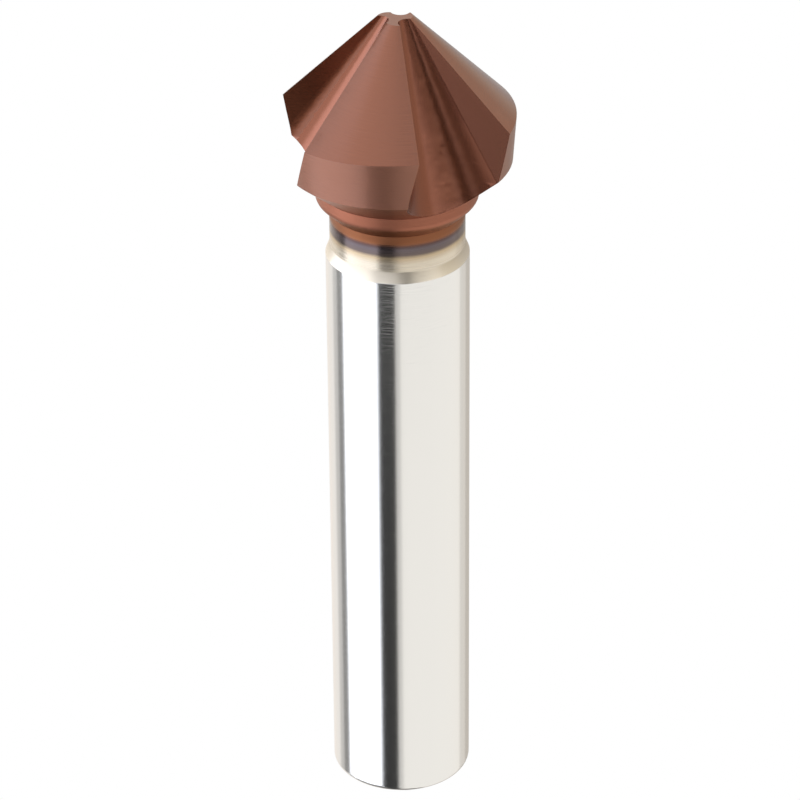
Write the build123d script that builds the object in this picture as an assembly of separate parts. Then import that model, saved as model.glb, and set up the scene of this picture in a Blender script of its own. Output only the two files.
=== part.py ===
from build123d import *
import math
import os

# A three-flute 90 degree countersink, ground from one bar of high-speed steel.
# Its axis is Z: the foot of the shank stands on z = 0 and the tip points up.
# Seen from above the tip it cuts turning counter-clockwise, the usual right-hand way.
# Azimuths are measured from -Y towards +X. Lengths are in mm and angles in degrees.

OVERALL_LENGTH = 60.0

# Head: the cutting cone, and behind it a short margin with a little back taper.
HEAD_DIAMETER = 16.5
POINT_ANGLE = 90.0
TIP_DIAMETER = 2.6
MARGIN_WIDTH = 3.4
BACK_TAPER = 4.0
UNDERSIDE_ANGLE = 39.5

# Collar and neck, between the head and the shank.
COLLAR_DIAMETER = 11.3
COLLAR_WIDTH = 0.9
COLLAR_BEVEL = 0.95
COLLAR_ROUND = 0.6
NECK_DIAMETER = 9.4
NECK_LENGTH = 2.7

# Shank, with a short shoulder up to the neck and a rounded foot.
SHANK_DIAMETER = 10.0
SHOULDER_LENGTH = 0.75
FOOT_ROUND = 0.45

# Flutes. Each has a flat rake face, and behind it a hollow that opens out from the
# tip to the collar, so the chips are thrown clear of the edge. A hollow's fullness is
# how far its curve is drawn into the corner between the rake face and its far side.
FLUTE_COUNT = 3
RAKE_AZIMUTH = 22.5
RAKE_OFFSET = 0.24
RAKE_LEAN = 12.1
HOLLOW_AZIMUTH = -17.0
TIP_HOLLOW_REACH = 1.05
COLLAR_HOLLOW_REACH = 9.7
TIP_HOLLOW_FULLNESS = 0.33
COLLAR_HOLLOW_FULLNESS = 0.42

# Heel flat, which thins the back of the next land. It meets the hollow in a ridge.
HEEL_AZIMUTH = 0.85
HEEL_OFFSET = 0.19
HEEL_LEAN = 19.7
TIP_RIDGE_REACH = 1.0
COLLAR_RIDGE_REACH = 7.65
RIDGE_ROUND = 0.3

# Relief. A land's cone is sharper than the full cone and touches it at the edge
# only, and its margin is ground about a centre that lies nearer to the edge.
EDGE_AZIMUTH = 10.5
RELIEF_LEAD = 5.0
CONE_RELIEF_SHIFT = 0.45
CONE_RELIEF_TILT = 1.8
MARGIN_RELIEF_SHIFT = 0.2

NODE = "countersink_bit"

half_point = POINT_ANGLE / 2
head_radius = HEAD_DIAMETER / 2
tip_radius = TIP_DIAMETER / 2
collar_radius = COLLAR_DIAMETER / 2
neck_radius = NECK_DIAMETER / 2
shank_radius = SHANK_DIAMETER / 2
flute_pitch = 360 / FLUTE_COUNT


def tan(angle):
    return math.tan(math.radians(angle))


# Heights, from the tip down to the shank.
margin_top = OVERALL_LENGTH - (head_radius - tip_radius) / tan(half_point)
margin_bottom = margin_top - MARGIN_WIDTH
margin_foot_radius = head_radius - MARGIN_WIDTH * tan(BACK_TAPER)
collar_top = margin_bottom - (margin_foot_radius - collar_radius) * tan(UNDERSIDE_ANGLE)
collar_bottom = collar_top - COLLAR_WIDTH
neck_top = collar_bottom - COLLAR_BEVEL
neck_bottom = neck_top - NECK_LENGTH
shank_top = neck_bottom - SHOULDER_LENGTH
flute_length = OVERALL_LENGTH - collar_top

# Tools are made this much longer than the space that they have to cross.
OVERRUN = 1.0
reach = 2 * head_radius


def heading(azimuth):
    """The level unit vector at an azimuth."""
    angle = math.radians(azimuth)
    return Vector(math.sin(angle), -math.cos(angle))


def face_to(azimuth):
    """The turn about Z that brings +X to an azimuth."""
    return Rot(Z=azimuth - 90)


def crossing(start, direction, azimuth, distance):
    """Where a level line meets the level line square to an azimuth, at a distance from the axis."""
    normal = heading(azimuth)
    return start + direction * ((distance - start.dot(normal)) / direction.dot(normal))


def turned_blank():
    """The bar as it leaves the lathe, with a full cone and no flutes."""
    outline = Polyline(
        (0, 0),
        (shank_radius, 0),
        (shank_radius, shank_top),
        (neck_radius, neck_bottom),
        (neck_radius, neck_top),
        (collar_radius, collar_bottom),
        (collar_radius, collar_top),
        (margin_foot_radius, margin_bottom),
        (head_radius, margin_top),
        (tip_radius, OVERALL_LENGTH),
        (0, OVERALL_LENGTH),
        close=True,
    )
    section = make_face(outline)
    foot_corner = section.vertices().sort_by_distance((shank_radius, 0))[0]
    section = fillet(foot_corner, FOOT_ROUND)
    collar_corner = section.vertices().sort_by_distance((collar_radius, collar_bottom))[0]
    section = fillet(collar_corner, COLLAR_ROUND)
    return revolve(Plane.XZ * section, Axis.Z)


def relief_waste():
    """What relief grinding takes off one land: its share of the blank, outside its own cone and margin."""
    apex_height = OVERALL_LENGTH + tip_radius / tan(half_point)
    depth = apex_height - collar_top + OVERRUN
    base_radius = depth * tan(half_point - CONE_RELIEF_TILT)
    cone = Cone(base_radius, 0, depth, align=(Align.CENTER, Align.CENTER, Align.MAX))
    apex = Pos(X=CONE_RELIEF_SHIFT, Z=apex_height - CONE_RELIEF_SHIFT / tan(half_point))
    cone = apex * Rot(Y=-CONE_RELIEF_TILT) * cone

    height = flute_length + 2 * OVERRUN
    low_radius = head_radius - MARGIN_RELIEF_SHIFT - (margin_top - collar_top + OVERRUN) * tan(BACK_TAPER)
    high_radius = low_radius + height * tan(BACK_TAPER)
    margin = Cone(low_radius, high_radius, height, align=(Align.CENTER, Align.CENTER, Align.MIN))
    margin = Pos(X=MARGIN_RELIEF_SHIFT, Z=collar_top - OVERRUN) * margin

    share = extrude(
        make_face(
            Polyline(
                (0, 0),
                heading(flute_pitch / 4 + 90) * reach,
                (reach, 0),
                heading(flute_pitch / 4 + 90 - flute_pitch) * reach,
                close=True,
            )
        ),
        flute_length + OVERRUN,
    )
    share = Pos(Z=collar_top) * share
    return face_to(EDGE_AZIMUTH + RELIEF_LEAD) * (share - (cone & margin))


def flute_section(depth):
    """The level section of a flute, at a depth below the tip."""
    progress = depth / flute_length
    rake_distance = RAKE_OFFSET + depth * tan(RAKE_LEAN)
    heel_distance = HEEL_OFFSET + depth * tan(HEEL_LEAN)
    hollow_reach = TIP_HOLLOW_REACH + (COLLAR_HOLLOW_REACH - TIP_HOLLOW_REACH) * progress
    ridge_reach = TIP_RIDGE_REACH + (COLLAR_RIDGE_REACH - TIP_RIDGE_REACH) * progress
    fullness = TIP_HOLLOW_FULLNESS + (COLLAR_HOLLOW_FULLNESS - TIP_HOLLOW_FULLNESS) * progress

    outward = heading(RAKE_AZIMUTH)
    along_heel = heading(HEEL_AZIMUTH + 90)
    hollow_start = heading(RAKE_AZIMUTH - 90) * rake_distance + outward * hollow_reach
    ridge = heading(HEEL_AZIMUTH) * heel_distance + along_heel * ridge_reach
    corner = crossing(hollow_start, outward, HOLLOW_AZIMUTH, ridge.dot(heading(HOLLOW_AZIMUTH)))
    hollow = Bezier(
        hollow_start,
        hollow_start + (corner - hollow_start) * fullness,
        ridge + (corner - ridge) * fullness,
        ridge,
    )
    rake_end = hollow_start + outward * reach
    heel_end = ridge + along_heel * reach
    sides = Polyline(ridge, heel_end, heel_end + outward * reach, rake_end, hollow_start)
    section = make_face([hollow, *sides.edges()])
    section = fillet(section.vertices().sort_by_distance(ridge)[0], RIDGE_ROUND)
    return Pos(Z=OVERALL_LENGTH - depth) * section


def flute():
    """The space that one flute takes out of the head, down to the collar's top face."""
    return loft([flute_section(-OVERRUN), flute_section(flute_length)], ruled=True)


def countersink_bit():
    body = turned_blank()
    waste = relief_waste()
    cut = flute()
    for i in range(FLUTE_COUNT):
        turn = Rot(Z=i * flute_pitch)
        body -= turn * waste
        body -= turn * cut
    return body


os.makedirs("parts", exist_ok=True)
export_step(countersink_bit(), f"parts/{NODE}.step")
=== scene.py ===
import math

import bpy
from mathutils import Matrix

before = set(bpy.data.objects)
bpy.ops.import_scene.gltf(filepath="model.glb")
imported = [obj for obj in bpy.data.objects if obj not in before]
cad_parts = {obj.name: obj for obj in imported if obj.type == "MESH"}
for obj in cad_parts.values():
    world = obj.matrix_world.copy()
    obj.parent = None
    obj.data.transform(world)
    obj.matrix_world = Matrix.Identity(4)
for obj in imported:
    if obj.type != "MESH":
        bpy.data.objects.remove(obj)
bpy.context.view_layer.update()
bpy.ops.object.select_all(action="DESELECT")

# The countersink bit. One bar of high-speed steel is turned, fluted and relieved on a
# grinder, and only then coated from the tip down, so the copper-brown coating thins out
# through purple and straw on the neck and leaves the ground shank bare.

# Heights above the foot, in metres.
SHANK_TOP = 0.0424
COLLAR_TOP = 0.0477
MARGIN_BOTTOM = 0.04965

BARE_STEEL = (0.800, 0.790, 0.770, 1)
PALE_STRAW = (0.930, 0.850, 0.720, 1)
STRAW = (0.740, 0.660, 0.540, 1)
DULL_STRAW = (0.710, 0.630, 0.510, 1)
DEEP_STRAW = (0.560, 0.440, 0.290, 1)
GREY_PURPLE = (0.160, 0.125, 0.115, 1)
PURPLE = (0.150, 0.122, 0.130, 1)
DARK_PURPLE = (0.110, 0.070, 0.068, 1)
NECK_COPPER = (0.300, 0.120, 0.058, 1)
BEVEL_COPPER = (0.300, 0.110, 0.055, 1)
COLLAR_COPPER = (0.380, 0.145, 0.090, 1)
LAND_COPPER = (0.260, 0.090, 0.048, 1)
# Paler copper on the margins: painted sheen.
MARGIN_PAINTED_SHEEN = (0.330, 0.148, 0.100, 1)
# Darker copper on the rake faces, which look down: painted shade.
RAKE_PAINTED_SHADE = (0.160, 0.051, 0.026, 1)
# The coating's copper, darkened and reddened in the flutes as painted shade and painted bounced
# light.
FLUTE_COPPER_AND_SHADE = (0.250, 0.072, 0.033, 1)
WARM_EDGE = (1.0, 0.94, 0.88, 1)

# The colour and the roughness at each height, running evenly from one line to the next.
COLOR_BANDS = [
    (SHANK_TOP, BARE_STEEL),
    (0.04242, PALE_STRAW),
    (0.04323, STRAW),
    (0.04371, DULL_STRAW),
    (0.04419, DEEP_STRAW),
    (0.04444, GREY_PURPLE),
    (0.04484, PURPLE),
    (0.04506, DARK_PURPLE),
    (0.04531, NECK_COPPER),
    (0.04661, BEVEL_COPPER),
    (0.04688, COLLAR_COPPER),
    (0.04954, COLLAR_COPPER),
    (MARGIN_BOTTOM, LAND_COPPER),
]
ROUGHNESS_BANDS = [
    (SHANK_TOP, 0.15),
    (0.04242, 0.36),
    (0.04307, 0.36),
    (0.04335, 0.26),
    (0.04425, 0.25),
    (0.04447, 0.19),
    (0.04509, 0.19),
    (0.04548, 0.45),
    (MARGIN_BOTTOM, 0.42),
]
FLUTE_ROUGHNESS = 0.27
COAT_ROUGHNESS = 0.2
COAT_IOR = 1.45

# The faces of the head are told apart by their normals. Their upward part is large on a
# land, small in a flute's hollow and on its heel flat, and negative on a rake face. Only on
# a margin does the normal point almost straight out from the axis.
FLUTE_LIFT = 0.24
FLUTE_LIFT_SPREAD = 0.22
# The range of lift over which the painted shade of the rake faces fades in.
RAKE_SHADE_LIFT = (-0.04, -0.16)
MARGIN_OUTWARD = 0.92

# The coating's gloss grows from faces that look down a little to those that look up.
GLOSS_LIFT = (-0.12, 0.06)

# The wheel leaves long level marks, so there are few to a metre across the bit and many up
# it. They are faint on the shank, and grow stronger from the neck to the top of the collar.
MARKS_ACROSS = 500.0
MARKS_UP = 9000.0
MARK_DETAIL = 3.0
MARK_DEPTH = 0.00002
MARKS_GROW_FROM = 0.0449
SHANK_AND_HEAD_MARKS = (0.3, 0.9)
FLUTE_MARKS = 0.03

bit_material = bpy.data.materials.new("coated_tool_steel")
bit_material.use_nodes = True
nodes = bit_material.node_tree.nodes
links = bit_material.node_tree.links
surface = nodes["Principled BSDF"]


def feed(socket, source):
    """Link a socket to another node's output, or set it to a plain value."""
    if isinstance(source, bpy.types.NodeSocket):
        links.new(source, socket)
    else:
        socket.default_value = source


def calculate(operation, *sources, kind="ShaderNodeMath", output="Value"):
    """One operation on numbers, or on vectors where the kind says so."""
    node = nodes.new(kind)
    node.operation = operation
    for socket, source in zip(node.inputs, sources):
        feed(socket, source)
    return node.outputs[output]


def upward_part(vector):
    """The Z of a place or a normal."""
    node = nodes.new("ShaderNodeSeparateXYZ")
    feed(node.inputs[0], vector)
    return node.outputs["Z"]


def grade(source, start_and_end, low_and_high=(0.0, 1.0)):
    """A number that goes from low to high while the source goes from start to end."""
    node = nodes.new("ShaderNodeMapRange")
    feed(node.inputs["Value"], source)
    feed(node.inputs["From Min"], start_and_end[0])
    feed(node.inputs["From Max"], start_and_end[1])
    feed(node.inputs["To Min"], low_and_high[0])
    feed(node.inputs["To Max"], low_and_high[1])
    return node.outputs["Result"]


def lay_over(kind, mask, under, over):
    """A colour (RGBA) or a number (FLOAT) laid over another where the mask is 1."""
    node = nodes.new("ShaderNodeMix")
    node.data_type = kind
    feed(node.inputs["Factor"], mask)
    feed(node.inputs["A"], under)
    feed(node.inputs["B"], over)
    return node.outputs["Result"]


def banded(bands):
    """Colours that run into each other from the lowest band's height to the highest's."""
    node = nodes.new("ShaderNodeValToRGB")
    elements = node.color_ramp.elements
    low, lowest_color = bands[0]
    high, highest_color = bands[-1]
    elements[0].color = lowest_color
    elements[1].color = highest_color
    for band_height, color in bands[1:-1]:
        elements.new((band_height - low) / (high - low)).color = color
    feed(node.inputs["Fac"], grade(height, (low, high)))
    return node.outputs["Color"]


place = nodes.new("ShaderNodeTexCoord").outputs["Object"]
normal = nodes.new("ShaderNodeNewGeometry").outputs["Normal"]
height = upward_part(place)
lift = upward_part(normal)

level_place = calculate("MULTIPLY", place, (1, 1, 0), kind="ShaderNodeVectorMath", output="Vector")
spoke = calculate("NORMALIZE", level_place, kind="ShaderNodeVectorMath", output="Vector")
outward = calculate("DOT_PRODUCT", spoke, normal, kind="ShaderNodeVectorMath")

above_collar = calculate("GREATER_THAN", height, COLLAR_TOP)
above_underside = calculate("GREATER_THAN", height, MARGIN_BOTTOM)
flute = calculate("MULTIPLY", calculate("COMPARE", lift, FLUTE_LIFT, FLUTE_LIFT_SPREAD), above_collar)
margin_sheen = calculate("MULTIPLY", calculate("GREATER_THAN", outward, MARGIN_OUTWARD), above_collar)
rake_shade = calculate("MULTIPLY", grade(lift, RAKE_SHADE_LIFT), above_underside)
gloss = calculate("MULTIPLY", grade(lift, GLOSS_LIFT), above_collar)

color = banded(COLOR_BANDS)
# Painted shade: the rake faces, which look down, are darkened.
color = lay_over("RGBA", rake_shade, color, RAKE_PAINTED_SHADE)
# Painted sheen: the margins are paler than the rest of the coating.
color = lay_over("RGBA", margin_sheen, color, MARGIN_PAINTED_SHEEN)
# Painted shade and painted bounced light: the flutes are darker and redder than the lands.
color = lay_over("RGBA", flute, color, FLUTE_COPPER_AND_SHADE)

finish = banded([(at, (level, level, level, 1)) for at, level in ROUGHNESS_BANDS])
finish = lay_over("FLOAT", flute, finish, FLUTE_ROUGHNESS)

# The flutes are ground last, with a finer wheel, so they hardly show its marks.
stretch = nodes.new("ShaderNodeMapping")
feed(stretch.inputs["Vector"], place)
feed(stretch.inputs["Scale"], (MARKS_ACROSS, MARKS_ACROSS, MARKS_UP))
marks = nodes.new("ShaderNodeTexNoise")
feed(marks.inputs["Vector"], stretch.outputs["Vector"])
feed(marks.inputs["Scale"], 1.0)
feed(marks.inputs["Detail"], MARK_DETAIL)
strength = grade(height, (MARKS_GROW_FROM, COLLAR_TOP), SHANK_AND_HEAD_MARKS)
strength = lay_over("FLOAT", flute, strength, FLUTE_MARKS)
grooves = nodes.new("ShaderNodeBump")
feed(grooves.inputs["Strength"], 1.0)
feed(grooves.inputs["Distance"], MARK_DEPTH)
feed(grooves.inputs["Height"], calculate("MULTIPLY", marks.outputs["Fac"], strength))

feed(surface.inputs["Base Color"], color)
feed(surface.inputs["Metallic"], 1.0)
feed(surface.inputs["Roughness"], finish)
feed(surface.inputs["Specular Tint"], WARM_EDGE)
feed(surface.inputs["Coat Weight"], gloss)
feed(surface.inputs["Coat Roughness"], COAT_ROUGHNESS)
feed(surface.inputs["Coat IOR"], COAT_IOR)
feed(surface.inputs["Normal"], grooves.outputs["Normal"])

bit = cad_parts["countersink_bit"]
bit.data.materials.clear()
bit.data.materials.append(bit_material)

# The table and the light. The bit stands on a plain pale table, in a ring of cards that the
# camera doesn't see: a large cool softbox on its left, a cream reflector on its right, and
# black flags round the lens. A soft ceiling closes the ring.

RING_RADIUS = 0.7
RING_CENTRE = 0.05
FACES_ROUND = 360

# Where cards meet one above the other, in degrees up from level at the ring's centre. The
# low ones hang under the table, which lets mirrored light through.
BOTTOM = -75
FOOT = -50
KNEE = -24
LEVEL = -3
GAP_BOTTOM = 9
BROW = 16
GAP_TOP = 21
CROWN = 50

# Where cards meet side by side, in degrees from -Y towards +X.
LEFT_REAR = -128
LEFT_SIDE = -115
SOFTBOX_START = -100
EDGE_END = -75
FLAG_LEFT = -40
SOFTBOX_END = -33
FRONT = -5
GAP_LEFT = -4
REFLECTOR_START = 3
GAP_RIGHT = 6
FLAG_RIGHT = 22
RIGHT_SIDE = 68
REFLECTOR_END = 118
RIGHT_REAR = 140
BACK = 180

COOL = (0.97, 1.0, 1.08, 1)
WARM = (1.0, 0.985, 0.95, 1)
AMBER = (1.0, 0.93, 0.80, 1)
WHITE = (1.0, 1.0, 1.0, 1)

CEILING_HEIGHT = 0.88
CEILING_RADIUS = 0.9
CEILING_SIDES = 48
CEILING_STRENGTH = 1.1

TABLE_WIDTH = 6
TABLE_COLOR = (0.9, 0.9, 0.9, 1)
TABLE_ROUGHNESS = 0.8
ROOM_COLOR = (0.15, 0.145, 0.14, 1)


def glow(name, color, strength):
    """A material that shines evenly."""
    material = bpy.data.materials.new(name)
    material.use_nodes = True
    tree = material.node_tree
    tree.nodes.remove(tree.nodes["Principled BSDF"])
    shine = tree.nodes.new("ShaderNodeEmission")
    shine.inputs["Color"].default_value = color
    shine.inputs["Strength"].default_value = strength
    tree.links.new(shine.outputs[0], tree.nodes["Material Output"].inputs["Surface"])
    return material


def card(name, azimuths, elevations, color, strength):
    """A card bent round the bit, one face to a degree, between two azimuths and elevations."""
    low, high = [RING_RADIUS * math.tan(math.radians(elevation)) for elevation in elevations]
    bpy.ops.mesh.primitive_cylinder_add(
        vertices=FACES_ROUND,
        radius=RING_RADIUS,
        depth=high - low,
        end_fill_type="NOTHING",
        location=(0, 0, RING_CENTRE + (low + high) / 2),
    )
    piece = bpy.context.object
    piece.name = name
    bpy.ops.object.mode_set(mode="EDIT")
    bpy.ops.mesh.select_mode(type="FACE")
    bpy.ops.mesh.select_all(action="DESELECT")
    bpy.ops.object.mode_set(mode="OBJECT")
    for face in piece.data.polygons:
        azimuth = math.degrees(math.atan2(face.center.x, -face.center.y))
        face.select = not azimuths[0] < azimuth < azimuths[1]
    bpy.ops.object.mode_set(mode="EDIT")
    bpy.ops.mesh.delete(type="FACE")
    bpy.ops.object.mode_set(mode="OBJECT")
    piece.data.materials.append(glow(name, color, strength))
    piece.visible_camera = False


def changed_for(tree, ray, usual, changed):
    """The usual shader, changed for another where one kind of ray meets it."""
    path = tree.nodes.new("ShaderNodeLightPath")
    mix = tree.nodes.new("ShaderNodeMixShader")
    tree.links.new(path.outputs[ray], mix.inputs["Fac"])
    tree.links.new(usual, mix.inputs[1])
    tree.links.new(changed, mix.inputs[2])
    return mix.outputs[0]


# The softbox, brightest along its lower edge, and the dimmer walls round and behind it.
card("softbox_left", (LEFT_SIDE, FLAG_LEFT), (LEVEL, CROWN), COOL, 1.6)
card("softbox_edge", (-125, EDGE_END), (KNEE, LEVEL), COOL, 2.3)
card("softbox_low", (SOFTBOX_START, SOFTBOX_END), (FOOT, KNEE), COOL, 1.7)
card("softbox_front", (FLAG_LEFT, GAP_LEFT), (BROW, CROWN), COOL, 1.45)
card("wall_front", (EDGE_END, FRONT), (KNEE, LEVEL), WHITE, 1.15)
card("wall_foot", (SOFTBOX_START, SOFTBOX_END), (BOTTOM, FOOT), WHITE, 0.25)
card("wall_left", (LEFT_SIDE, SOFTBOX_START), (BOTTOM, KNEE), WHITE, 0.3)
card("wall_left_far", (LEFT_REAR, LEFT_SIDE), (BOTTOM, KNEE), WHITE, 0.68)
card("wall_back", (-BACK, LEFT_REAR), (BOTTOM, CROWN), WHITE, 1.0)

# The flags, and a pale gap between them that lies below the lens.
card("flag_low", (SOFTBOX_END, FRONT), (BOTTOM, KNEE), WHITE, 0.05)
card("flag_lens", (FLAG_LEFT, FLAG_RIGHT), (LEVEL, GAP_BOTTOM), WHITE, 0.06)
card("flag_front", (FLAG_LEFT, GAP_LEFT), (GAP_BOTTOM, BROW), WHITE, 0.3)
card("lens_glow", (GAP_LEFT, GAP_RIGHT), (GAP_BOTTOM, GAP_TOP), WARM, 1.05)
card("flag_near", (GAP_RIGHT, FLAG_RIGHT), (GAP_BOTTOM, CROWN), WHITE, 0.02)
card("flag_right", (FLAG_RIGHT, RIGHT_SIDE), (BROW, CROWN), WHITE, 0.02)
card("flag_top", (GAP_LEFT, GAP_RIGHT), (GAP_TOP, CROWN), WHITE, 0.02)

# The reflector, and the warm walls beside and below it.
card("reflector_right", (FLAG_RIGHT, RIGHT_SIDE), (LEVEL, BROW), WARM, 1.3)
card("reflector_edge", (FRONT, REFLECTOR_START), (BOTTOM, KNEE), WARM, 0.75)
card("reflector_low", (REFLECTOR_START, REFLECTOR_END), (BOTTOM, KNEE), WARM, 1.05)
card("wall_right", (FRONT, BACK), (KNEE, LEVEL), WHITE, 0.5)
card("wall_right_side", (RIGHT_SIDE, BACK), (LEVEL, BROW), AMBER, 0.7)
card("wall_right_high", (RIGHT_SIDE, BACK), (BROW, CROWN), AMBER, 0.95)
card("wall_right_low", (REFLECTOR_END, RIGHT_REAR), (BOTTOM, KNEE), WARM, 0.8)
card("wall_right_far", (RIGHT_REAR, BACK), (BOTTOM, KNEE), WARM, 0.6)

bpy.ops.mesh.primitive_circle_add(
    vertices=CEILING_SIDES,
    radius=CEILING_RADIUS,
    fill_type="NGON",
    location=(0, 0, CEILING_HEIGHT),
)
ceiling = bpy.context.object
ceiling.name = "ceiling"
ceiling.data.materials.append(glow("ceiling", WHITE, CEILING_STRENGTH))
ceiling.visible_camera = False

# The table is white to the camera, clear to mirrored light and pale to all other light.
bpy.ops.mesh.primitive_plane_add(size=TABLE_WIDTH, location=(0, 0, 0))
table = bpy.context.object
table.name = "table"
table_material = bpy.data.materials.new("white_table")
table_material.use_nodes = True
table_tree = table_material.node_tree
pale = table_tree.nodes["Principled BSDF"]
pale.inputs["Base Color"].default_value = TABLE_COLOR
pale.inputs["Roughness"].default_value = TABLE_ROUGHNESS
white = table_tree.nodes.new("ShaderNodeEmission")
clear = table_tree.nodes.new("ShaderNodeBsdfTransparent")
top = changed_for(table_tree, "Is Camera Ray", pale.outputs[0], white.outputs[0])
top = changed_for(table_tree, "Is Glossy Ray", top, clear.outputs[0])
table_tree.links.new(top, table_tree.nodes["Material Output"].inputs["Surface"])
table.data.materials.append(table_material)

# The room outside the ring is dim, and white to the camera.
world = bpy.data.worlds.new("studio")
bpy.context.scene.world = world
world.use_nodes = True
room_tree = world.node_tree
room = room_tree.nodes["Background"]
room.inputs["Color"].default_value = ROOM_COLOR
backdrop = room_tree.nodes.new("ShaderNodeBackground")
backdrop.inputs["Color"].default_value = WHITE
walls = changed_for(room_tree, "Is Camera Ray", room.outputs[0], backdrop.outputs[0])
room_tree.links.new(walls, room_tree.nodes["World Output"].inputs["Surface"])

# The camera. It stands in front of the bit and looks about 30 degrees down on it through a
# long lens, so that the sides of the shank stay almost parallel.

CAMERA_PLACE = (0, -0.244568, 0.172068)
CAMERA_TURN = -0.02
CAMERA_DOWN = 30.08
CAMERA_ROLL = -0.45
LENS_LENGTH = 179.9
SENSOR_WIDTH = 36.0
NEAREST = 0.01

camera_data = bpy.data.cameras.new("camera")
camera_data.lens = LENS_LENGTH
camera_data.sensor_width = SENSOR_WIDTH
camera_data.clip_start = NEAREST
camera = bpy.data.objects.new("camera", camera_data)
bpy.context.scene.collection.objects.link(camera)
camera.matrix_world = (
    Matrix.Translation(CAMERA_PLACE)
    @ Matrix.Rotation(math.radians(CAMERA_TURN), 4, "Z")
    @ Matrix.Rotation(math.radians(90 - CAMERA_DOWN), 4, "X")
    @ Matrix.Rotation(math.radians(CAMERA_ROLL), 4, "Z")
)
bpy.context.scene.camera = camera
bpy.context.scene.view_settings.view_transform = "Standard"
